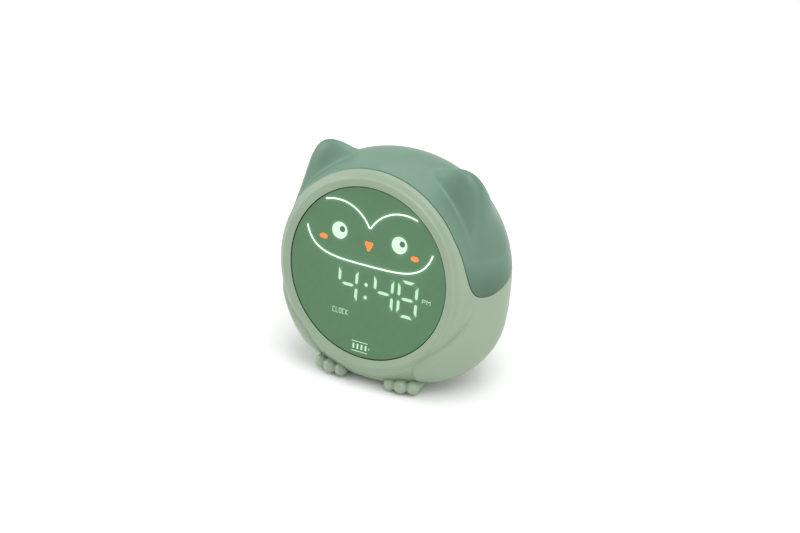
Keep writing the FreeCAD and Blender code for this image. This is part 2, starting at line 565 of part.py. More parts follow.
# ---------------------------------------------------------------- inner frame, boards, battery
frame = cyl(FRAME_R, FRAME_Y0, FRAME_Y1).cut(rounded(-24, 24, 2, 26, 4, 10, 30)).cut(rounded(-30, 30, -40, -20, 4, 10, 30))
for x, z in BOSS:
    frame = frame.cut(cyl(1.3, 10, 30, x, z))
for x in (POST_XY, -POST_XY):
    for z in (POST_XY, -POST_XY):
        zz = z
        frame = frame.fuse(cyl(3.0, FRAME_Y0, 66.25, x, zz)).cut(cyl(0.95, 56, 70, x, zz))
MBX, MBZ0, MBZ1 = 17.0, -8.0, 34.0
MB_PEG = [(x, z) for x in (-14.0, 14.0) for z in (-5.0, 31.0)]
for x, z in MB_PEG:
    frame = frame.fuse(cyl(2.2, FRAME_Y0, 27.0, x, z))
    frame = frame.cut(cyl(0.95, 20, 28, x, z))
out("inner_frame", frame)
out("frame_screws", Part.makeCompound([screw(x, z, FRAME_Y1, 7.5) for x, z in BOSS]))
mb = rounded(-MBX, MBX, MBZ0, MBZ1, 1.0, 27.0, 27.0 + BOARD_T)
for x, z in MB_PEG:
    mb = mb.cut(cyl(1.15, 20, 30, x, z))
MBF = 27.0 + BOARD_T
out("main_board", mb)
out("board_screws", Part.makeCompound([screw(x, z, MBF, 5.0) for x, z in MB_PEG]))
chips = [box(-3.5, 3.5, MBF, MBF + .9, 12, 19), box(7, 11, MBF, MBF + 1.4, 4, 9), box(-11, -6, MBF, MBF + 1.4, 2, 6), box(5.5, 8.7, MBF, MBF + .8, 20, 22),
         box(-12, -9, MBF, MBF + 1.2, 12, 14), box(-2, 3, MBF, MBF + 2.2, -4, 1), cyl(2.5, MBF, MBF + 5.5, 10.5, 14.0), box(-9, -5.5, MBF, MBF + 1.1, 21, 24.5)]
out("board_chips", Part.makeCompound(chips))
conns = []
for x, z in ((-8.0, -5.5), (8.0, -5.5), (-6.0, 29.5), (5.0, 29.5)):
    conns.append(box(x - 3, x + 3, MBF, MBF + 4.5, z - 1.8, z + 1.8).cut(box(x - 2.3, x + 2.3, MBF + 1.2, MBF + 6, z - 1.1, z + 1.1)))
out("board_connectors", Part.makeCompound(conns))
tray = box(-28.5, 28.5, FRAME_Y1, 33.6, -40.5, -11.5).cut(box(-27, 27, FRAME_Y1 + 1.6, 40, -39, -13))
tray = tray.cut(cyl(3.4, 20, 40, POST_XY, -POST_XY)).cut(cyl(3.4, 20, 40, -POST_XY, -POST_XY)).cut(cyl(2.4, 20, 40, BOSS[2][0], BOSS[2][1]))
tray = max(tray.Solids, key=lambda s: s.Volume)
out("battery_tray", tray)
cell = rounded(-19.0, 19.0, -38.0, -14.0, 2.5, FRAME_Y1 + 1.6, FRAME_Y1 + 9.6)
out("battery_cell", cell)

# ---------------------------------------------------------------- night-light lamp under the hood
LZ = 40.0
ltray = box(-32, 32, FRAME_Y1, 46, LZ, LZ + 1.5).fuse(box(-32, 32, FRAME_Y1, FRAME_Y1 + 1.5, LZ - 4, LZ + 3.0))
ltray = ltray.cut(cyl(2.6, 20, 30, BOSS[0][0], BOSS[0][1])).cut(cyl(2.6, 20, 30, BOSS[1][0], BOSS[1][1])).removeSplitter()
out("lamp_tray", ltray)
out("lamp_board", box(-29, 29, 27, 44, LZ + 1.5, LZ + 2.7))
lleds = [box(x - 1.75, x + 1.75, y - 1.4, y + 1.4, LZ + 2.7, LZ + 4.2) for x in (-24, -14.4, 14.4, 24) for y in (31.0, 40.0)]
lleds += [box(x - 1.75, x + 1.75, 34.1, 36.9, LZ + 2.7, LZ + 4.2) for x in (-8.0, 8.0)]
out("lamp_leds", Part.makeCompound(lleds))
helix = Part.makeHelix(2.0, 12.5, 2.6)
helix.Placement = FreeCAD.Placement(V(0, 35.5, LZ + 3.15), FreeCAD.Rotation())
prof = Part.Wire([Part.makeCircle(0.35, V(2.6, 35.5, LZ + 3.15), V(0, 1, 0.12))])
spring = Part.Wire(helix).makePipeShell([prof], True, True)
out("touch_spring", spring)

# ---------------------------------------------------------------- rear panel and controls
PY0, PY1 = PANEL_Y0, PANEL_Y0 + PANEL_T
panel = cyl(PANEL_R, PY0, PY1)
edge = [e for e in panel.Edges if abs(e.CenterOfMass.y - PY1) < 1e-6]
panel = panel.makeFillet(0.5, edge)
holes = [cyl(BUTTON_R + 0.2, PY0 - 1, PY1 + 1, x, z) for _, x, z in BUTTONS]
holes += [rounded(SWITCH_X - 1.8, SWITCH_X + 1.8, SWITCH_Z - 3.2, SWITCH_Z + 3.2, 0.8, PY0 - 1, PY1 + 1)]
holes += [rounded(USB_X - 1.85, USB_X + 1.85, USB_Z - 4.75, USB_Z + 4.75, 1.7, PY0 - 1, PY1 + 1)]
for x in (POST_XY, -POST_XY):
    for z in (POST_XY, -POST_XY):
        holes += [cyl(1.35, PY0 - 1, PY1 + 1, x, z), cyl(2.35, PY1 - 1.2, PY1 + 1, x, z)]
GR = [(0.0, 0.0)] + [(4.0 * math.cos(math.radians(60 * k)), 4.0 * math.sin(math.radians(60 * k))) for k in range(6)] + \
     [(8.0 * math.cos(math.radians(30 * k)), 8.0 * math.sin(math.radians(30 * k))) for k in range(12)]
holes += [cyl(1.1, PY0 - 1, PY1 + 1, SPK_X + a, SPK_Z + b) for a, b in GR]
panel = panel.cut(Part.makeCompound(holes))
out("rear_panel", panel)
out("case_screws", Part.makeCompound([screw(x, z, PY1 - 1.2, 9.0, 1.05, 2.1, 1.0) for x in (POST_XY, -POST_XY) for z in (POST_XY, -POST_XY)]))
BB0, BB1 = 60.0, 61.6
bboard = cyl(28.6, BB0, BB1).cut(cyl(15.0, BB0 - 1, BB1 + 1, SPK_X, SPK_Z)).cut(box(-14, 14, BB0 - 1, BB1 + 1, -40, SPK_Z))
out("button_board", bboard)
tacts = []
for name, x, z in BUTTONS:
    t = box(x - 3, x + 3, BB1, 65.1, z - 3, z + 3).cut(cyl(1.8, 63.4, 66, x, z))
    tacts.append(t)
out("tact_switches", Part.makeCompound(tacts))
for name, x, z in BUTTONS:
    cap = cyl(BUTTON_R, 67.0, 71.2, x, z)
    e = [k for k in cap.Edges if abs(k.CenterOfMass.y - 71.2) < 1e-6]
    cap = cap.makeFillet(0.6, e).fuse(cyl(4.7, 66.8, 67.7, x, z)).fuse(cyl(2.0, 66.1, 67.0, x, z))
    if name in ("minus", "plus", "set"):
        pass
    out("button_" + name, cap.removeSplitter())
    out("plunger_" + name, cyl(1.7, 64.1, 66.1, x, z))
sb = box(SWITCH_X - 2.0, SWITCH_X + 2.0, BB1, 65.4, SWITCH_Z - 4.6, SWITCH_Z + 4.6)
sb = sb.cut(box(SWITCH_X - 0.9, SWITCH_X + 0.9, 63.9, 67, SWITCH_Z - 2.3, SWITCH_Z + 2.3))
out("power_switch_body", sb)
KZ = SWITCH_Z - SWITCH_TRAVEL / 2
knob = box(SWITCH_X - 0.75, SWITCH_X + 0.75, 64.1, 69.0, KZ - 1.0, KZ + 1.0)
head = rounded(SWITCH_X - 1.5, SWITCH_X + 1.5, KZ - 2.0, KZ + 2.0, 0.6, 68.3, 71.4)
for k in range(3):
    head = head.cut(box(SWITCH_X - 3, SWITCH_X + 3, 71.0, 72, KZ - 1.15 + k * 0.9, KZ - 0.65 + k * 0.9))
out("power_switch_knob", knob.fuse(head).removeSplitter())
usb = rounded(USB_X - 1.6, USB_X + 1.6, USB_Z - 4.47, USB_Z + 4.47, 1.5, BB1, 69.6).cut(rounded(USB_X - 1.28, USB_X + 1.28, USB_Z - 4.15, USB_Z + 4.15, 1.2, 63.2, 71))
usb = usb.fuse(box(USB_X - 0.35, USB_X + 0.35, 62.5, 69.0, USB_Z - 3.3, USB_Z + 3.3))
out("usb_c_port", usb)

# ---------------------------------------------------------------- speaker
def revolve(pts, x, z):
    w = Part.makePolygon([V(a, b, 0) for a, b in pts] + [V(pts[0][0], pts[0][1], 0)])
    s = Part.Face(w).revolve(V(0, 0, 0), V(0, 1, 0), 360)
    s.Placement = FreeCAD.Placement(V(x, 0, z), FreeCAD.Rotation())
    return s


out("speaker_gasket", ring(11.6, 13.5, 67.3, PANEL_Y0, SPK_X, SPK_Z))
out("speaker_frame", revolve([(13.5, 67.3), (13.5, 64.8), (8.6, 61.0), (7.1, 61.0), (7.1, 61.9), (8.2, 61.9), (12.3, 65.4), (12.3, 67.3)], SPK_X, SPK_Z))
out("speaker_magnet", revolve([(0, 57.0), (8.5, 57.0), (8.5, 60.2), (8.5, 61.0), (7.1, 61.0), (6.6, 62.2), (0, 62.2)], SPK_X, SPK_Z))
out("speaker_cone", revolve([(0, 63.4), (2.6, 63.0), (10.0, 65.9), (12.28, 66.3), (12.28, 66.6), (9.9, 66.25), (2.6, 63.4), (0, 63.9)], SPK_X, SPK_Z))

# ---------------------------------------------------------------- feet and pads, in upright directions
BODY = OUTER.copy()
BODY.Placement = FreeCAD.Placement(V(0, 0, 0), FreeCAD.Rotation(V(1, 0, 0), -TILT))
TOES = [(0.327, -0.045, -1.283, .078), (0.467, -0.050, -1.272, .084), (0.603, -0.010, -1.270, .081)]
SPLAY = math.radians(4.0)


def foot(sgn):
    hx, hy = sgn * math.sin(SPLAY), -math.cos(SPLAY)
    s = None
    for tx, ty, tz, tr in TOES:
        c = V(sgn * tx * R, ty * R, tz * R)
        heel = V(sgn * (0.467 * 0.12 + tx * 0.88) * R - hx * 20, ty * R - hy * 20, c.z)
        d = heel.sub(c)
        k = Part.makeSphere(tr * R, c).fuse(Part.makeCylinder(tr * R, d.Length, c, d)).fuse(Part.makeSphere(tr * R, heel))
        s = k if s is None else s.fuse(k)
    core = Part.makeBox(16.0, 21.0, 4.5, V(-8.0, 0.0, 0.0))
    core.Placement = FreeCAD.Placement(V(sgn * 0.462 * R, -0.02 * R, GROUND + 0.8), FreeCAD.Rotation(V(0, 0, 1), sgn * math.degrees(SPLAY)))
    s = s.fuse(core)
    s = s.cut(Part.makeBox(200, 200, 20, V(-100, -100, GROUND + 0.8 - 20)))
    s = s.cut(BODY)
    return max(s.Solids, key=lambda q: q.Volume)


out("foot_left", foot(-1), False)
out("foot_right", foot(1), False)
pads = []
for s in (-1, 1):
    pads.append(Part.makeCylinder(4.2, 0.8, V(s * 0.445 * R, 0.16 * R, GROUND)))
    q = Part.makeCylinder(4.5, 9.0, V(s * 0.42 * R, 1.02 * R, GROUND)).cut(BODY)
    pads.append(min(q.Solids, key=lambda g: g.CenterOfMass.z))
out("foot_pads", Part.makeCompound(pads), False)

x0 = min(b.XMin for _, b in NODES)
x1 = max(b.XMax for _, b in NODES)
y0 = min(b.YMin for _, b in NODES)
y1 = max(b.YMax for _, b in NODES)
z0 = min(b.ZMin for _, b in NODES)
z1 = max(b.ZMax for _, b in NODES)
print("all x %.3f %.3f y %.3f %.3f z %.3f %.3f  size %.2f %.2f %.2f" % (x0, x1, y0, y1, z0, z1, x1 - x0, y1 - y0, z1 - z0))
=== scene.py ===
import bpy
import json
import math
import numpy as np
from mathutils import Matrix, Vector


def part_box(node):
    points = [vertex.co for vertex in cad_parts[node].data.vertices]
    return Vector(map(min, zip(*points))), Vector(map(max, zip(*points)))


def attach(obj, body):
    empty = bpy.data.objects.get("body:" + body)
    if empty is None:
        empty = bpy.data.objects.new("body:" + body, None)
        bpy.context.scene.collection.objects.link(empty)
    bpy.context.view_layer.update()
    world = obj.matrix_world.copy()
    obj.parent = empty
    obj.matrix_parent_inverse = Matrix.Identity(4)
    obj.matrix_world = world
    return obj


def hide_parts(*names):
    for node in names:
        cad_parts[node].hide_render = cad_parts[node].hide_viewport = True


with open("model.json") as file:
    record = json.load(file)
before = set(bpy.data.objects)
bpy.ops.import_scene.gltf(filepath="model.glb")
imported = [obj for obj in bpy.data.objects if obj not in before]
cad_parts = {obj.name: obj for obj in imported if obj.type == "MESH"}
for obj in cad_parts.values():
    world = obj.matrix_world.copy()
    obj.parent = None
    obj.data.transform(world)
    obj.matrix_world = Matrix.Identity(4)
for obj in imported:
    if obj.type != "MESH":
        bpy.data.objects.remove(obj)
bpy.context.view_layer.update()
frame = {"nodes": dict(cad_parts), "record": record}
NODES = frame["nodes"]

# ------------------------------------------------------------------ size and frame of the display (mm)
R = 47.0
TILT = math.radians(8.628)
SC = 0.62
GAP = 0.25
SHIFT = np.array([0.0, -33.24, 64.65])
BACK_S = 1.50
PART_S = 1.0
GROUND = -64.65

PROF = np.array([(-0.006, 1.004, 1.004, 1.004, 2.0), (-0.020, 1.045, 1.045, 1.045, 2.0), (-0.008, 1.105, 1.105, 1.112, 2.0),
                 (0.030, 1.155, 1.152, 1.175, 2.0), (0.084, 1.188, 1.176, 1.225, 2.03), (0.180, 1.226, 1.212, 1.300, 2.20),
                 (0.300, 1.258, 1.256, 1.326, 2.58), (0.450, 1.294, 1.328, 1.300, 2.90), (0.620, 1.308, 1.380, 1.283, 2.88),
                 (0.800, 1.290, 1.382, 1.240, 2.82), (1.000, 1.227, 1.304, 1.190, 2.72), (1.200, 1.125, 1.172, 1.085, 2.42),
                 (1.380, 0.965, 0.995, 0.940, 2.12), (1.500, 0.800, 0.800, 0.800, 2.0), (1.590, 0.600, 0.600, 0.600, 2.0),
                 (1.650, 0.300, 0.300, 0.300, 2.0), (1.665, 1e-9, 1e-9, 1e-9, 2.0)])
EAR = [(-0.2775, 0.4535, -2.3320), (-0.5725, 0.7731, -0.3380), (0.7320, 0.1361, -0.1908), (0.3165, 0.1658, 0.2251),
       (-0.4391, 1.0280, 0.9408), (0.3564, 0.1200, 0.2797), (0.5675, -0.5044, 0.0316), (0.6316, -0.3684, 0.7579),
       (0.0, 0.5, 0.866), (0.4737, 0.1053, 0.9337)]
ROUND, KV = 5.0, 0.12
WFRONT = [(80, -3), (73.5, -9.1), (71.2, -14.7), (68.6, -20.7), (65.8, -27.5), (63.4, -33.5), (61.9, -40.3), (61.3, -46.6),
          (62.2, -53.0), (65.2, -58.2), (70.0, -61.5)]
WREAR = [(76, -62.0), (82, -58), (88, -51), (93, -43), (98, -34), (102, -24), (104, -12), (104, -2)]
WH = 0.050
LOBE = [(.084, .62), (.092, .56), (.116, .341), (.147, .168), (.180, .073), (.241, -.008), (.325, -.047), (.413, -.053),
        (.505, -.033), (.591, -.001), (.698, .052), (.801, .114), (.903, .219), (1.0, .38)]


def smin(a, b, k):
    h = np.maximum(k - np.abs(a - b), 0.0) / k
    return np.minimum(a, b) - h * h * h * k / 6.0


def spline_many(xs, ys):
    """Natural cubic splines, one per row; returns coefficient arrays."""
    n = xs.shape[1]
    h = xs[:, 1:] - xs[:, :-1]
    l = np.ones_like(xs)
    mu = np.zeros_like(xs)
    z = np.zeros_like(xs)
    for i in range(1, n - 1):
        al = 3 * ((ys[:, i + 1] - ys[:, i]) / h[:, i] - (ys[:, i] - ys[:, i - 1]) / h[:, i - 1])
        l[:, i] = 2 * (xs[:, i + 1] - xs[:, i - 1]) - h[:, i - 1] * mu[:, i - 1]
        mu[:, i] = h[:, i] / l[:, i]
        z[:, i] = (al - h[:, i - 1] * z[:, i - 1]) / l[:, i]
    c = np.zeros_like(xs)
    b = np.zeros_like(h)
    d = np.zeros_like(h)
    for j in range(n - 2, -1, -1):
        c[:, j] = z[:, j] - mu[:, j] * c[:, j + 1]
        b[:, j] = (ys[:, j + 1] - ys[:, j]) / h[:, j] - h[:, j] * (c[:, j + 1] + 2 * c[:, j]) / 3
        d[:, j] = (c[:, j + 1] - c[:, j]) / (3 * h[:, j])
    return b, c, d


def base_R(th, pm):
    c = np.abs(np.cos(pm))[:, None]
    s = np.sin(pm)[:, None]
    rt, rs, rb, p = PROF[:, 1], PROF[:, 2], PROF[:, 3], PROF[:, 4]
    up = 1.0 / np.sqrt((c / rs) ** 2 + (s / rt) ** 2)
    dn = ((c / rs) ** p + (np.abs(s) / rb) ** p) ** (-1.0 / p)
    q = np.where(s >= 0, up, dn)
    dx = PROF[:, 0] - SC
    rr = np.sqrt(q * q + dx * dx)
    tt = np.arctan2(q, -dx)
    b, cc, d = spline_many(tt, rr)
    i = np.clip((th[:, None] >= tt[:, 1:-1]).sum(1), 0, tt.shape[1] - 2)
    k = np.arange(len(th))
    t = th - tt[k, i]
    return rr[k, i] + b[k, i] * t + cc[k, i] * t * t + d[k, i] * t ** 3, tt[:, 0]


def seg_dist(p, a, b):
    a, b = np.array(a), np.array(b)
    ab = b - a
    t = np.clip(((p - a) @ ab) / (ab @ ab), 0, 1)
    return np.linalg.norm(p - (a + t[:, None] * ab), axis=1)


def inside_poly(x, y, poly):
    r = np.zeros(len(x), bool)
    j = len(poly) - 1
    for i in range(len(poly)):
        (x1, y1), (x2, y2) = poly[i], poly[j]
        if y1 != y2:
            r ^= ((y1 > y) != (y2 > y)) & (x < (x2 - x1) * (y - y1) / (y2 - y1) + x1)
        j = i
    return r


def direction(th, ph):
    return np.stack([np.sin(th) * np.cos(ph), np.sin(th) * np.sin(ph), -np.cos(th)], -1)


def catmull(pts, n):
    p = np.array([pts[0]] + list(pts) + [pts[-1]], float)
    o = []
    for i in range(1, len(p) - 2):
        for k in range(n):
            t = k / n
            o.append(0.5 * (2 * p[i] + (p[i + 1] - p[i - 1]) * t + (2 * p[i - 1] - 5 * p[i] + 4 * p[i + 1] - p[i + 2]) * t * t
                            + (3 * p[i] - p[i - 1] - 3 * p[i + 1] + p[i + 2]) * t ** 3))
    o.append(p[-2])
    return np.array(o)


WFS, WRS = catmull(WFRONT + WREAR[:1], 5), catmull(WREAR, 5)
W1 = direction(np.radians(WFS[:, 0]), np.radians(WFS[:, 1]))
W2 = direction(np.radians(WRS[:, 0]), np.radians(WRS[:, 1]))
WPOLY = [tuple(q) for q in WFS] + [tuple(q) for q in WRS]


def wing(th, pm, d):
    out = np.zeros(len(th))
    td, pd = np.degrees(th), np.degrees(pm)
    m = (pd > -66) & (pd < 0) & (td > 58) & (td < 106)
    idx = np.nonzero(m)[0]
    idx = idx[inside_poly(td[idx], pd[idx], WPOLY)]
    if not len(idx):
        return out
    q = d[idx]
    df = 1.36 * np.min([seg_dist(q, W1[i], W1[i + 1]) for i in range(len(W1) - 1)], axis=0)
    dr = 1.36 * np.min([seg_dist(q, W2[i], W2[i + 1]) for i in range(len(W2) - 1)], axis=0)
    tf, tr = np.minimum(df / 0.055, 1.0), np.minimum(dr / 0.26, 1.0)
    a = np.sqrt(np.maximum(1 - (1 - tf) ** 2, 0))
    b = tr * tr * (3 - 2 * tr)
    u = np.clip((-pd[idx] - 4.0) / 26.0, 0, 1)
    u = u * u * (3 - 2 * u)
    out[idx] = WH * a * (0.15 + 0.85 * b) * u * np.minimum(1.0, b * 4 + .3)
    return out


def skin(th, ph):
    s, c = np.sin(ph), np.abs(np.cos(ph))
    pm = np.arctan2(s, c)
    r0, _ = base_R(th, pm)
    d = np.stack([np.sin(th) * c, np.sin(th) * s, -np.cos(th)], -1)
    e = np.zeros(len(th))
    for n in EAR:
        e += np.maximum(d @ np.array(n), 0.0) ** ROUND
    e = np.maximum(e, 1e-12) ** (-1.0 / ROUND)
    w = 1.0 / (1.0 + np.exp(-(pm + 0.35) / 0.06))
    r0 = -smin(-r0, -(e * w + (1 - w) * 0.5), KV)
    return r0 + wing(th, pm, d)


def skin_point(th, ph):
    r = skin(th, ph) * R
    return np.stack([r * np.sin(th) * np.cos(ph), SC * R - r * np.cos(th), r * np.sin(th) * np.sin(ph)], -1)


def skin_normal(th, ph, e=2e-3):
    a = skin_point(th + e, ph) - skin_point(th - e, ph)
    b = skin_point(th, ph + e) - skin_point(th, ph - e)
    n = np.cross(b, a)
    n /= np.maximum(np.linalg.norm(n, axis=1), 1e-12)[:, None]
    d = direction(th, ph)[:, [0, 2, 1]]
    n[np.einsum("ij,ij->i", n, d) < 0] *= -1
    return n


def theta_back(ph, s):
    lo, hi = np.full(len(ph), 1.5), np.full(len(ph), 3.1)
    for _ in range(32):
        m = 0.5 * (lo + hi)
        v = SC - skin(m, ph) * np.cos(m) < s
        lo, hi = np.where(v, m, lo), np.where(v, hi, m)
    return 0.5 * (lo + hi)


CT, ST = math.cos(TILT), math.sin(TILT)


def to_frame(p):
    """Display frame (x across, y depth, z up the face), mm, to the shared frame in metres."""
    p = np.asarray(p, float)
    q = np.stack([p[..., 0], p[..., 2] * ST + p[..., 1] * CT, p[..., 2] * CT - p[..., 1] * ST], -1)
    return (q + SHIFT) / 1000.0


def turn(n):
    n = np.asarray(n, float)
    return np.stack([n[..., 0], n[..., 2] * ST + n[..., 1] * CT, n[..., 2] * CT - n[..., 1] * ST], -1)


def make_object(name, verts, faces, normals=None, smooth=True):
    me = bpy.data.meshes.new(name)
    me.from_pydata([tuple(map(float, v)) for v in verts], [], faces)
    me.validate(clean_customdata=False)
    me.update()
    if smooth:
        me.polygons.foreach_set("use_smooth", [True] * len(me.polygons))
    if normals is not None and len(me.vertices) == len(normals):
        me.normals_split_custom_set_from_vertices([tuple(map(float, n)) for n in normals])
    ob = bpy.data.objects.new(name, me)
    bpy.context.scene.collection.objects.link(ob)
    return ob


# ------------------------------------------------------------------ body shells
def spline_curve(pts, n):
    pts = np.array(pts)
    t = np.concatenate([[0], np.cumsum(np.linalg.norm(np.diff(pts, axis=0), axis=1))])
    u = np.linspace(0, t[-1], n)
    out = []
    for k in range(2):
        b, c, d = spline_many(t[None], pts[:, k][None])
        i = np.clip((u[:, None] >= t[1:-1][None]).sum(1), 0, len(t) - 2)
        x = u - t[i]
        out.append(pts[i, k] + b[0, i] * x + c[0, i] * x * x + d[0, i] * x ** 3)
    return np.stack(out, -1)


LOBE_C = spline_curve(LOBE, 110) * R
SEAM_H = [(LOBE_C[0, 0], 120.0)] + [tuple(q) for q in LOBE_C] + [(PART_S * R, 120.0)]


def polyline_dist(y, z, pts):
    out = np.full(len(y), 1e9)
    p = np.stack([y, z], -1)
    for a, b in zip(pts[:-1], pts[1:]):
        out = np.minimum(out, seg_dist(p, a, b))
    return out


def sd_hood(y, z):
    d = polyline_dist(y, z, SEAM_H)
    return np.where(inside_poly(y, z, SEAM_H), -d, d)


def sd_rear(y, z):
    return PART_S * R - y


def sd_front(y, z):
    front = y - PART_S * R
    return np.maximum(front, -sd_hood(y, z))


NPH, NTH = 600, 190
PHI = -math.pi / 2 + 2 * math.pi * np.arange(NPH) / NPH
TH0 = base_R(np.full(NPH, 1.2), np.arctan2(np.sin(PHI), np.abs(np.cos(PHI))))[1]
TH1 = theta_back(PHI, BACK_S)
TT = np.linspace(0, 1, NTH + 1)
TT = 0.45 * TT + 0.55 * TT ** 2
GTH = TH0[None] + (TH1 - TH0)[None] * TT[:, None]
GPH = np.broadcast_to(PHI[None], GTH.shape)
GP = skin_point(GTH.ravel(), GPH.ravel())
GN = skin_normal(GTH.ravel(), GPH.ravel())


def clip_piece(sdf, inset):
    """Part of the body grid where sdf < -inset, cut exactly on that line. Returns th, ph and faces."""
    sd = sdf(GP[:, 1], GP[:, 2]) + inset
    th, ph = list(GTH.ravel()), list(GPH.ravel())
    faces, cut = [], {}
    ins = sd < 0

    def cross(a, b):
        k = (a, b) if a < b else (b, a)
        if k not in cut:
            t = sd[k[0]] / (sd[k[0]] - sd[k[1]])
            t = min(max(t, 0.02), 0.98)
            pa, pb = ph[k[0]], ph[k[1]]
            if pb - pa > math.pi:
                pb -= 2 * math.pi
            if pa - pb > math.pi:
                pa -= 2 * math.pi
            cut[k] = len(th)
            th.append(th[k[0]] + t * (th[k[1]] - th[k[0]]))
            ph.append(pa + t * (pb - pa))
        return cut[k]

    I = ins.reshape(NTH + 1, NPH)
    full = I[:-1] & I[1:] & np.roll(I, -1, 1)[:-1] & np.roll(I, -1, 1)[1:]
    some = (I[:-1] | I[1:] | np.roll(I, -1, 1)[:-1] | np.roll(I, -1, 1)[1:]) & ~full
    for i, j in zip(*np.nonzero(full)):
        k = (j + 1) % NPH
        faces.append((int(i * NPH + j), int((i + 1) * NPH + j), int((i + 1) * NPH + k), int(i * NPH + k)))
    for i, j in zip(*np.nonzero(some)):
        k = (j + 1) % NPH
        q = (int(i * NPH + j), int((i + 1) * NPH + j), int((i + 1) * NPH + k), int(i * NPH + k))
        poly = []
        for a, b in zip(q, q[1:] + q[:1]):
            if ins[a]:
                poly.append(a)
            if ins[a] != ins[b]:
                poly.append(cross(a, b))
        if len(poly) >= 3:
            faces.append(tuple(poly))
    used = sorted({v for f in faces for v in f})
    new = {v: i for i, v in enumerate(used)}
    faces = [tuple(new[v] for v in f) for f in faces]
    return np.array([th[v] for v in used]), np.array([ph[v] for v in used]), faces


def boundary_loops(faces):
    nxt = {}
    seen = set()
    for f in faces:
        for a, b in zip(f, f[1:] + f[:1]):
            seen.add((a, b))
    for a, b in seen:
        if (b, a) not in seen:
            nxt[a] = b
    loops = []
    while nxt:
        s = min(nxt)
        loop = [s]
        c = nxt.pop(s)
        while c != s and c in nxt:
            loop.append(c)
            c = nxt.pop(c)
        loops.append(loop)
    return loops


def build_shell(name, sdf, lip=0.45, wall=1.9):
    th, ph, faces = clip_piece(sdf, GAP / 2 + lip)
    P = skin_point(th, ph)
    N = skin_normal(th, ph)
    verts, norms = [P], [N]
    count = len(P)
    for loop in boundary_loops(faces):
        if len(loop) < 12:
            continue
        L = np.array(loop)
        p, n = P[L], N[L]
        e = np.roll(p, -1, 0) - np.roll(p, 1, 0)
        for _ in range(2):
            e = (np.roll(e, 1, 0) + 2 * e + np.roll(e, -1, 0)) / 4
        e /= np.linalg.norm(e, axis=1)[:, None]
        t = np.cross(e, n)
        c = p.mean(0)
        if name == "front":
            pass
        t /= np.linalg.norm(t, axis=1)[:, None]
        rim = p[:, 1].max() - p[:, 1].min() < 0.6 and abs(np.linalg.norm(p[:, [0, 2]], axis=1).std()) < 0.4
        rad, dep = (0.18, 2.5) if rim and p[0, 1] < 5 else ((0.30, 2.0) if rim and p[0, 1] > 60 else (lip, wall))
        prev = L
        rows = [(math.radians(a), 0.0) for a in (22.5, 45, 67.5, 90)] + [(math.radians(90), dep)]
        if rim:
            rows = [(math.radians(a), 0.0) for a in (30, 60, 90)] + [(math.radians(90), dep)]
        for a, depth_and_painted_shade in rows:
            q = p + t * rad * math.sin(a) - n * (rad * (1 - math.cos(a)) + depth_and_painted_shade)
            m = n * math.cos(a) + t * math.sin(a)
            idx = np.arange(count, count + len(L))
            verts.append(q)
            norms.append(m)
            count += len(L)
            for k in range(len(L)):
                k2 = (k + 1) % len(L)
                faces.append((int(prev[k2]), int(prev[k]), int(idx[k]), int(idx[k2])))
            prev = idx
    P, N = np.concatenate(verts), np.concatenate(norms)
    return make_object(name, to_frame(P), faces, turn(N))


hood = build_shell("hood_skin", sd_hood)
front = build_shell("front_shell_skin", sd_front)
rear = build_shell("rear_shell_skin", sd_rear)


# painted shade on the hood: its colour is darkened towards the ends of the side lobes and over the ears
hv = np.empty(len(hood.data.vertices) * 3)
hood.data.vertices.foreach_get("co", hv)
hv = hv.reshape(-1, 3) * 1000.0 - SHIFT
hq = np.stack([np.abs(hv[:, 0]), hv[:, 1] * CT - hv[:, 2] * ST, hv[:, 2] * CT + hv[:, 1] * ST], -1) / R
low_t = np.clip((0.55 - hq[:, 2]) / 0.60, 0, 1)
depth_and_painted_shade = 0.92 * low_t * low_t * (3 - 2 * low_t)
depth_and_painted_shade = np.maximum(depth_and_painted_shade, 0.34 * np.clip((hq[:, 0] - 0.62) / 0.22, 0, 1) * np.clip((hq[:, 2] - 0.1) / 0.3, 0, 1) * np.clip((0.25 + hq[:, 1] * 2.2 - 0.1) / 0.7, 0, 1))
hood.data.attributes.new("depth_and_painted_shade", "FLOAT", "POINT").data.foreach_set("value", depth_and_painted_shade.astype(np.float32))


# ------------------------------------------------------------------ feet: smooth union of rounded toes, meshed on a fine lattice
TOES = [(0.327, -0.045, -1.283, .078), (0.467, -0.050, -1.272, .084), (0.603, -0.010, -1.270, .081)]
SPLAY = math.radians(4.0)


def foot_field(p, sgn):
    hx, hy = sgn * math.sin(SPLAY), -math.cos(SPLAY)
    f = None
    for tx, ty, tz, tr in TOES:
        a = np.array([sgn * tx, ty, tz]) * R
        b = np.array([sgn * (0.467 * 0.12 + tx * 0.88) * R - hx * 20, ty * R - hy * 20, a[2]])
        ab = b - a
        t = np.clip(((p - a) @ ab) / (ab @ ab), 0, 1)
        d = np.linalg.norm(p - (a + t[..., None] * ab), axis=-1) - tr * R
        f = d if f is None else smin(f, d, 0.9)
    ax = np.array([-hx, -hy])
    o = np.array([sgn * 0.462, -0.02]) * R + ax * 10.5
    lx = (p[..., 0] - o[0]) * ax[1] - (p[..., 1] - o[1]) * ax[0]
    ly = (p[..., 0] - o[0]) * ax[0] + (p[..., 1] - o[1]) * ax[1]
    lz = p[..., 2] - (GROUND + 0.8 + 1.8)
    q = np.stack([np.abs(lx) - 7.0, np.abs(ly) - 9.5, np.abs(lz) - 1.0], -1)
    box = np.linalg.norm(np.maximum(q, 0), axis=-1) + np.minimum(q.max(-1), 0) - 1.0
    f = smin(f, box, 1.5)
    floor = (GROUND + 0.8) - p[..., 2]
    return -smin(-f, -floor, 0.5)


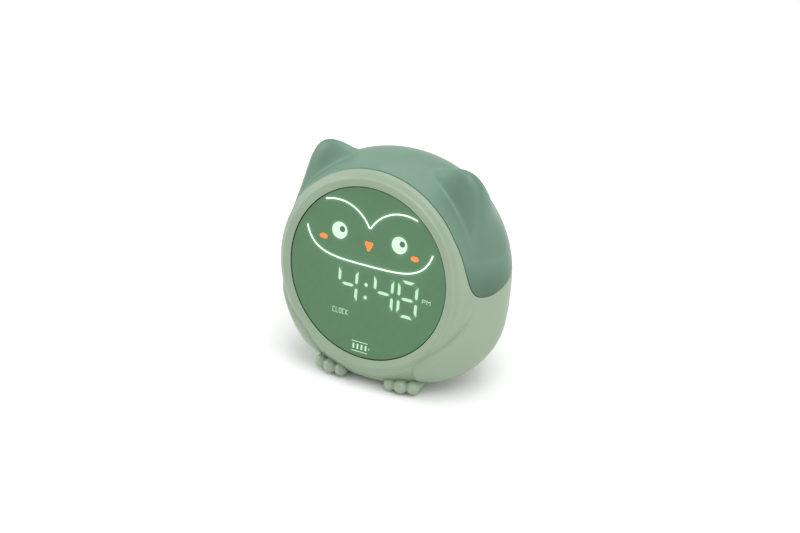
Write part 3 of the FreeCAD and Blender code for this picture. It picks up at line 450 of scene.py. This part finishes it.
def surface_nets(name, field, lo, hi, step):
    n = [int(math.ceil((hi[i] - lo[i]) / step)) + 1 for i in range(3)]
    ax = [lo[i] + step * np.arange(n[i]) for i in range(3)]
    g = np.stack(np.meshgrid(*ax, indexing="ij"), -1)
    f = field(g)
    s = f < 0
    corners = [(a, b, c) for a in (0, 1) for b in (0, 1) for c in (0, 1)]
    sl = lambda arr, o: arr[o[0]:arr.shape[0] - 1 + o[0], o[1]:arr.shape[1] - 1 + o[1], o[2]:arr.shape[2] - 1 + o[2]]
    cnt = sum(sl(s, o).astype(int) for o in corners)
    act = (cnt > 0) & (cnt < 8)
    acc = np.zeros(act.shape + (3,))
    num = np.zeros(act.shape)
    for o in corners:
        for d in range(3):
            if o[d] == 0:
                o2 = tuple(1 if k == d else o[k] for k in range(3))
                fa, fb = sl(f, o), sl(f, o2)
                x = (fa < 0) != (fb < 0)
                t = np.where(x, fa / np.where(x, fa - fb, 1.0), 0)
                v = np.zeros(act.shape + (3,)) + np.array(o)
                v[..., d] = t
                acc += v * x[..., None]
                num += x
    ids = -np.ones(act.shape, int)
    ii = np.nonzero(act)
    ids[ii] = np.arange(len(ii[0]))
    base = np.stack(ii, -1)
    V = np.array(lo) + step * (base + acc[ii] / num[ii][:, None])
    F = []
    for d in range(3):
        e1, e2 = [(1, 2), (2, 0), (0, 1)][d]
        a = s.take(range(0, s.shape[d] - 1), d)
        b = s.take(range(1, s.shape[d]), d)
        for i, j, k in zip(*np.nonzero(a != b)):
            q = [i, j, k]
            if q[e1] == 0 or q[e2] == 0 or q[e1] > ids.shape[e1] - 1 or q[e2] > ids.shape[e2] - 1:
                continue
            loop = []
            for da, db in ((0, 0), (-1, 0), (-1, -1), (0, -1)):
                r = q[:]
                r[e1] += da
                r[e2] += db
                loop.append(int(ids[tuple(r)]))
            if min(loop) < 0:
                continue
            F.append(tuple(loop if a[i, j, k] else loop[::-1]))
    for _ in range(3):
        fv = field(V)
        e = 1e-3
        G = np.stack([(field(V + np.eye(3)[k] * e) - field(V - np.eye(3)[k] * e)) / (2 * e) for k in range(3)], -1)
        V = V - G * (fv / np.maximum((G ** 2).sum(-1), 0.2))[:, None] * 0.8
    G /= np.maximum(np.linalg.norm(G, axis=1), 1e-9)[:, None]
    return make_object(name, (V + SHIFT) / 1000.0, F, G)


feet = []
for sgn, nm in ((-1, "left"), (1, "right")):
    b = NODES["foot_" + nm]
    lo3, hi3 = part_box("foot_" + nm)
    lo = np.array(lo3) * 1000 - SHIFT
    hi = np.array(hi3) * 1000 - SHIFT
    ft = surface_nets("foot_%s_skin" % nm, lambda p, s=sgn: np.maximum(foot_field(p, s), p[..., 2] - (hi[2] - 0.02)),
                      lo - 1.0, hi + 1.0, 0.42)
    feet.append(ft)

# ------------------------------------------------------------------ display lens with the glow that spreads in it
DZ, DW, DH = -0.172 * R, 0.110 * R, 0.1005 * R
SEG_LEN, SEG_W = 0.150 * R, 0.035 * R
segs = []
for ch, cx in (("fgbc", -0.232), ("fgbc", 0.227), ("abcdefg", 0.533)):
    x = cx * R
    pos = {"a": (x, DZ + 2 * DH, 0), "g": (x, DZ, 0), "d": (x, DZ - 2 * DH, 0), "b": (x + DW, DZ + DH, 1),
           "c": (x + DW, DZ - DH, 1), "f": (x - DW, DZ + DH, 1), "e": (x - DW, DZ - DH, 1)}
    segs += [pos[s] for s in ch]


def bezier(p, n=28):
    t = np.linspace(0, 1, n + 1)[:, None]
    p = np.array(p)
    return (1 - t) ** 3 * p[0] + 3 * t * (1 - t) ** 2 * p[1] + 3 * t * t * (1 - t) * p[2] + t ** 3 * p[3]


br = np.concatenate([np.array([(0.0, .541), (.008, .543), (.015, .550)]), bezier([(.022, .560), (.120, .720), (.330, .838), (.578, .759)])])
brow = np.concatenate([br[:0:-1] * [-1, 1], br]) * R
lw = bezier([(-.801, .402), (-.706, .086), (-.400, .103), (0.0, .101)])
low = np.concatenate([lw, lw[-2::-1] * [-1, 1]]) * R
EYE = (0.383 * R, 0.430 * R, 0.098 * R)


def lens_glow(x, z):
    p = np.stack([x, z], -1)
    d = np.full(len(x), 1e9)
    for path in (brow, low):
        for a, b in zip(path[:-1], path[1:]):
            d = np.minimum(d, seg_dist(p, a, b))
    g = 0.80 * np.exp(-np.maximum(d - 0.34, 0) / 0.50) + 0.09 * np.exp(-np.maximum(d - 0.34, 0) / 2.8)
    d = np.full(len(x), 1e9)
    for cx, cz, v in segs:
        h = SEG_LEN / 2 - 0.5
        a, b = ((cx, cz - h), (cx, cz + h)) if v else ((cx - h, cz), (cx + h, cz))
        d = np.minimum(d, seg_dist(p, a, b) - 0.55)
    for s in (-0.124, -0.275):
        d = np.minimum(d, np.hypot(x - 0.002 * R, z - s * R) - 0.9)
    d = np.maximum(d, 0)
    g += 0.30 * np.exp(-d / 0.55) + 0.035 * np.exp(-d / 2.6)
    for s in (-1, 1):
        d = np.maximum(np.hypot(x - s * EYE[0], z - EYE[1]) - EYE[2], 0)
        g += 0.40 * np.exp(-d / 0.6) + 0.06 * np.exp(-d / 2.4)
    return g


def disc_mesh(name, radius, y, rings, edge):
    """Fine disc with a small rolled rim; carries the glow as a per-point value."""
    V, F, N = [], [], []
    V.append((0, y, 0))
    N.append((0, -1, 0))
    prev = None
    nseg = 8
    counts = []
    rr = np.linspace(0, radius - edge, rings + 1)[1:]
    rows = []
    for k, r_ in enumerate(rr):
        rows.append((r_, y, 0.0))
    for a in (30, 60, 90):
        t = math.radians(a)
        rows.append((radius - edge + edge * math.sin(t), y + edge * (1 - math.cos(t)), t))
    rows.append((radius, y + 1.6, math.pi / 2))
    idx_prev = [0]
    n_prev = 1
    for r_, yy, ang in rows:
        n = max(8, int(2 * math.pi * min(r_, radius) / 0.42))
        n = min(n, 700)
        a = 2 * math.pi * np.arange(n) / n
        start = len(V)
        for q in a:
            V.append((r_ * math.cos(q), yy, r_ * math.sin(q)))
            N.append((math.cos(q) * math.sin(ang), -math.cos(ang), math.sin(q) * math.sin(ang)))
        cur = list(range(start, start + n))
        if n_prev == 1:
            for k in range(n):
                F.append((0, cur[k], cur[(k + 1) % n]))
        else:
            i = j = 0
            while i < n_prev or j < n:
                if j * n_prev <= i * n and j < n:
                    F.append((idx_prev[i % n_prev], cur[j % n], cur[(j + 1) % n]))
                    j += 1
                else:
                    F.append((idx_prev[i % n_prev], cur[j % n], idx_prev[(i + 1) % n_prev]))
                    i += 1
        idx_prev, n_prev = cur, n
    V, N = np.array(V, float), np.array(N, float)
    ob = make_object(name, to_frame(V), F, turn(N))
    att = ob.data.attributes.new("glow", "FLOAT", "POINT")
    att.data.foreach_set("value", lens_glow(V[:, 0], V[:, 2]).astype(np.float32))
    return ob


lens = disc_mesh("display_lens", 46.7, 0.06, 108, 0.35)


# ------------------------------------------------------------------ materials
def srgb(r, g, b):
    f = lambda c: c / 12.92 if c <= 0.04045 else ((c + 0.055) / 1.055) ** 2.4
    return (f(r / 255), f(g / 255), f(b / 255), 1.0)


def material(name, color, rough=0.45, spread=0.05, rough_var=0.06, grain=0.0, grain_scale=900.0, metallic=0.0, coat=0.0,
             sss=0.0, emit=None, emit_strength=0.0, glow=False, mottled=40.0, streak=None, sheen=0.0, depth_and_painted_shade=None):
    m = bpy.data.materials.new(name)
    m.use_nodes = True
    nt = m.node_tree
    nt.nodes.clear()
    out = nt.nodes.new("ShaderNodeOutputMaterial")
    bs = nt.nodes.new("ShaderNodeBsdfPrincipled")
    nt.links.new(bs.outputs[0], out.inputs[0])
    tc = nt.nodes.new("ShaderNodeTexCoord")
    no = nt.nodes.new("ShaderNodeTexNoise")
    no.inputs["Scale"].default_value = mottled
    no.inputs["Detail"].default_value = 4.0
    vec = tc.outputs["Object"]
    if streak:
        mp = nt.nodes.new("ShaderNodeMapping")
        mp.inputs["Scale"].default_value = streak
        nt.links.new(vec, mp.inputs["Vector"])
        vec = mp.outputs["Vector"]
    nt.links.new(vec, no.inputs["Vector"])
    cr = nt.nodes.new("ShaderNodeValToRGB")
    c = np.array(color[:3])
    cr.color_ramp.elements[0].position = 0.30
    cr.color_ramp.elements[1].position = 0.70
    cr.color_ramp.elements[0].color = tuple(c * (1 - spread)) + (1,)
    cr.color_ramp.elements[1].color = tuple(np.minimum(c * (1 + spread), 1.0)) + (1,)
    nt.links.new(no.outputs["Fac"], cr.inputs["Fac"])
    # painted shade: where the per-point value is set, the base colour is multiplied towards the given darker colour
    if depth_and_painted_shade is None:
        nt.links.new(cr.outputs["Color"], bs.inputs["Base Color"])
    else:
        at = nt.nodes.new("ShaderNodeAttribute")
        at.attribute_name = "depth_and_painted_shade"
        mx = nt.nodes.new("ShaderNodeMix")
        mx.data_type = "RGBA"
        mx.blend_type = "MULTIPLY"
        nt.links.new(at.outputs["Fac"], mx.inputs["Factor"])
        nt.links.new(cr.outputs["Color"], mx.inputs["A"])
        mx.inputs["B"].default_value = depth_and_painted_shade
        nt.links.new(mx.outputs["Result"], bs.inputs["Base Color"])
    mr = nt.nodes.new("ShaderNodeMapRange")
    mr.inputs["To Min"].default_value = max(rough - rough_var, 0.02)
    mr.inputs["To Max"].default_value = min(rough + rough_var, 1.0)
    nt.links.new(no.outputs["Fac"], mr.inputs["Value"])
    nt.links.new(mr.outputs["Result"], bs.inputs["Roughness"])
    bs.inputs["Metallic"].default_value = metallic
    bs.inputs["Coat Weight"].default_value = coat
    bs.inputs["Coat Roughness"].default_value = 0.15
    bs.inputs["Sheen Weight"].default_value = sheen
    if sss:
        bs.inputs["Subsurface Weight"].default_value = sss
        bs.inputs["Subsurface Radius"].default_value = (0.6, 1.0, 0.7)
        bs.inputs["Subsurface Scale"].default_value = 0.004
    if grain:
        n2 = nt.nodes.new("ShaderNodeTexNoise")
        n2.inputs["Scale"].default_value = grain_scale
        n2.inputs["Detail"].default_value = 2.0
        nt.links.new(tc.outputs["Object"], n2.inputs["Vector"])
        bp = nt.nodes.new("ShaderNodeBump")
        bp.inputs["Strength"].default_value = grain
        bp.inputs["Distance"].default_value = 0.00005
        nt.links.new(n2.outputs["Fac"], bp.inputs["Height"])
        nt.links.new(bp.outputs["Normal"], bs.inputs["Normal"])
    if emit is not None:
        if glow:
            at = nt.nodes.new("ShaderNodeAttribute")
            at.attribute_name = "glow"
            ml = nt.nodes.new("ShaderNodeMath")
            ml.operation = "MULTIPLY"
            ml.inputs[1].default_value = emit_strength
            nt.links.new(at.outputs["Fac"], ml.inputs[0])
            nt.links.new(ml.outputs[0], bs.inputs["Emission Strength"])
            bs.inputs["Emission Color"].default_value = emit
        else:
            e2 = nt.nodes.new("ShaderNodeValToRGB")
            ec = np.array(emit[:3])
            e2.color_ramp.elements[0].position = 0.25
            e2.color_ramp.elements[1].position = 0.75
            e2.color_ramp.elements[0].color = tuple(ec * 0.93) + (1,)
            e2.color_ramp.elements[1].color = tuple(np.minimum(ec * 1.05, 1.0)) + (1,)
            nt.links.new(no.outputs["Fac"], e2.inputs["Fac"])
            nt.links.new(e2.outputs["Color"], bs.inputs["Emission Color"])
            bs.inputs["Emission Strength"].default_value = emit_strength
    return m


SAGE = srgb(140, 158, 135)
MATS = {
    "sage_front": material("sage_front", SAGE, 0.42, 0.025, 0.05, 0.10, 1400, sss=0.08),
    "sage_body": material("sage_body", SAGE, 0.42, 0.025, 0.05, 0.10, 1400, sss=0.08),
    # the hood colour gets painted shade towards the lobe ends and over the ears
    "hood_plastic": material("hood_plastic", srgb(101, 134, 115), 0.38, 0.03, 0.05, 0.08, 1400, sss=0.20, depth_and_painted_shade=(0.38, 0.50, 0.38, 1)),
    "lens_green": material("lens_green", srgb(74, 115, 79), 0.36, 0.035, 0.05, 0.06, 1800, emit=(0.42, 1.0, 0.50, 1), emit_strength=0.30, glow=True, mottled=300.0),
    "foot_plastic": material("foot_plastic", srgb(146, 163, 141), 0.22, 0.03, 0.05, 0.05, 1200, coat=0.15, sss=0.08),
    "mark_mint": material("mark_mint", srgb(90, 120, 95), 0.5, 0.02, emit=(0.58, 0.86, 0.60, 1), emit_strength=0.80, mottled=900.0),
    "mark_pale": material("mark_pale", srgb(110, 135, 112), 0.5, 0.02, emit=(0.68, 0.93, 0.70, 1), emit_strength=0.86, mottled=900.0),
    "mark_white": material("mark_white", srgb(200, 220, 200), 0.5, 0.01, emit=(0.90, 1.0, 0.88, 1), emit_strength=0.9, mottled=900.0),
    "mark_orange": material("mark_orange", srgb(190, 80, 30), 0.5, 0.02, emit=(1.0, 0.30, 0.055, 1), emit_strength=0.72, mottled=900.0),
    "pupil_green": material("pupil_green", srgb(70, 110, 84), 0.4, 0.03),
    "white_plastic": material("white_plastic", srgb(232, 233, 228), 0.5, 0.02, grain=0.08, grain_scale=900),
    "foam_black": material("foam_black", srgb(40, 42, 40), 0.9, 0.2, grain=0.5, grain_scale=2500),
    "board_green": material("board_green", srgb(38, 104, 62), 0.4, 0.08, grain=0.1, grain_scale=700, mottled=120.0),
    "chip_black": material("chip_black", srgb(44, 46, 48), 0.5, 0.10, grain=0.15, grain_scale=2200),
    "connector_cream": material("connector_cream", srgb(226, 220, 200), 0.45, 0.03),
    "led_amber": material("led_amber", srgb(238, 226, 150), 0.3, 0.05, coat=0.3),
    "screw_steel": material("screw_steel", srgb(186, 187, 190), 0.35, 0.08, metallic=1.0, streak=(300, 300, 40)),
    "metal_plated": material("metal_plated", srgb(200, 201, 205), 0.3, 0.06, metallic=1.0, streak=(60, 60, 500)),
    "cell_silver": material("cell_silver", srgb(190, 192, 198), 0.35, 0.05, metallic=0.9, grain=0.1, grain_scale=500),
    "cone_paper": material("cone_paper", srgb(52, 52, 54), 0.9, 0.15, grain=0.4, grain_scale=2500),
    "pad_rubber": material("pad_rubber", srgb(120, 128, 120), 0.8, 0.05, grain=0.3, grain_scale=1800),
    "button_plastic": material("button_plastic", srgb(150, 172, 152), 0.38, 0.03, grain=0.08, grain_scale=1400),
    "spring_steel": material("spring_steel", srgb(205, 204, 198), 0.25, 0.06, metallic=1.0, streak=(400, 400, 400)),
}


def dress(ob, slot):
    ob.data.materials.clear()
    ob.data.materials.append(MATS[slot])
    return ob


SLOT = {s["node"]: s["material_slot"] for s in frame["record"]["subparts"]}
for n, o in NODES.items():
    dress(o, SLOT[n])

for ob, node in ((hood, "hood"), (front, "front_shell"), (rear, "rear_shell"), (lens, "display_window"), (feet[0], "foot_left"), (feet[1], "foot_right")):
    dress(ob, SLOT[node])
    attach(ob, "case")
    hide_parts(node)

# ------------------------------------------------------------------ floor, light and camera
fme = bpy.data.meshes.new("floor")
S = 6.0
fme.from_pydata([(-S, -S, 0), (S, -S, 0), (S, S, 0), (-S, S, 0)], [], [(0, 1, 2, 3)])
floor = bpy.data.objects.new("floor", fme)
bpy.context.scene.collection.objects.link(floor)
fme.materials.append(material("floor_paper", (0.93, 0.93, 0.93, 1), 0.85, 0.01, grain=0.02, grain_scale=60, mottled=6.0))

world = bpy.data.worlds.new("studio")
bpy.context.scene.world = world
world.use_nodes = True
wn = world.node_tree.nodes
wn["Background"].inputs[0].default_value = (1.0, 1.0, 1.0, 1)
wn["Background"].inputs[1].default_value = 0.74

CEN = Vector(((0.0, -0.005, 0.062)))


def area(name, loc, size, power, color=(1, 1, 1), size_y=None):
    d = bpy.data.lights.new(name, "AREA")
    d.energy = power
    d.color = color
    d.shape = "RECTANGLE"
    d.size = size
    d.size_y = size_y or size
    o = bpy.data.objects.new(name, d)
    o.location = loc
    v = CEN - Vector(loc)
    o.rotation_euler = v.to_track_quat("-Z", "Y").to_euler()
    bpy.context.scene.collection.objects.link(o)
    return o


area("key", (0.50, -0.32, 1.32), 0.9, 7.6)
area("left", (-1.20, -0.35, 0.75), 0.9, 6.2)
area("right", (1.20, -0.10, 0.75), 0.9, 3.2)
area("top", (-0.1, 0.45, 1.4), 1.2, 5.0)

cam_d = bpy.data.cameras.new("camera")
cam_d.sensor_width = 36.0
cam_d.lens = 1962.7 / 800.0 * 36.0
cam_d.clip_start = 0.05
cam_d.clip_end = 30.0
cam = bpy.data.objects.new("camera", cam_d)
AZ, EL = math.radians(30.109), math.radians(27.166)
r_ = Vector((math.cos(AZ), math.sin(AZ), 0))
u_ = Vector((-math.sin(AZ) * math.sin(EL), math.cos(AZ) * math.sin(EL), math.cos(EL)))
b_ = Vector((math.sin(AZ) * math.cos(EL), -math.cos(AZ) * math.cos(EL), math.sin(EL)))
loc = (np.array([10.0110922, -16.52792726, 10.01292407]) * R + SHIFT) / 1000.0
M = Matrix((r_, u_, b_)).transposed().to_4x4()
M.translation = Vector(loc)
cam.matrix_world = M
bpy.context.scene.collection.objects.link(cam)
bpy.context.scene.camera = cam
bpy.context.scene.view_settings.view_transform = "Standard"
